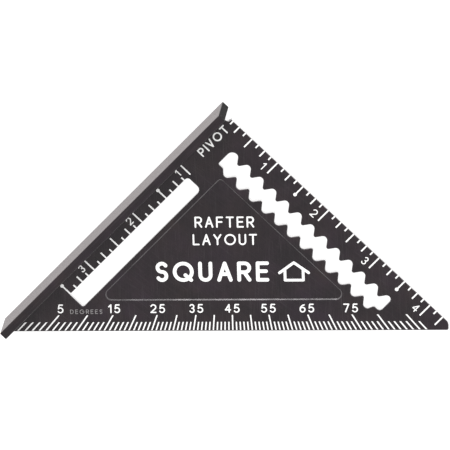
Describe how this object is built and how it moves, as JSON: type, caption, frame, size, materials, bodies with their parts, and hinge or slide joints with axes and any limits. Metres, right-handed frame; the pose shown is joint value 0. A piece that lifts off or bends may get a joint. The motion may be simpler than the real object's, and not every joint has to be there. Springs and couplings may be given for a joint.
{
  "type": "rafter square",
  "caption": "Right-angled layout square with a T-shaped fence, inch rulers, a degree scale, a ruler slot and a scribing slot with notched sides.",
  "frame": {"origin": "the pivot: the corner where the fence's inner face meets the ruler edge, half way through the blade's thickness", "axes": "the square lies flat: +X along the fence away from the pivot, +Y along the ruler leg away from the fence, +Z out of the front face, which carries the titles"},
  "size_m": [0.1158, 0.1157, 0.0188],
  "materials": {
    "blade_metal": "satin black coating over aluminium",
    "fence_metal": "satin black coating, worn to light grey on its outer face",
    "white_paint": "matt white paint fill",
    "grey_paint": "thin worn paint fill"
  },
  "bodies": {
    "root": {"blade": "blade_metal", "fence": "fence_metal", "front_edge_ruler_ticks": "white_paint", "front_edge_ruler_numbers": "white_paint", "front_slot_ruler_ticks": "white_paint", "front_slot_ruler_numbers": "white_paint", "front_degree_ticks": "white_paint", "front_five_degree_ticks": "white_paint", "front_degree_numbers": "white_paint", "front_pivot_label": "white_paint", "front_degrees_label": "grey_paint", "front_small_title": "white_paint", "front_large_title": "white_paint", "front_roof_mark": "white_paint", "back_edge_ruler_ticks": "white_paint", "back_edge_ruler_numbers": "white_paint", "back_slot_ruler_ticks": "white_paint", "back_slot_ruler_numbers": "white_paint", "back_degree_ticks": "white_paint", "back_five_degree_ticks": "white_paint", "back_degree_numbers": "white_paint", "back_pivot_label": "white_paint", "back_degrees_label": "grey_paint"}
  },
  "joints": []
}
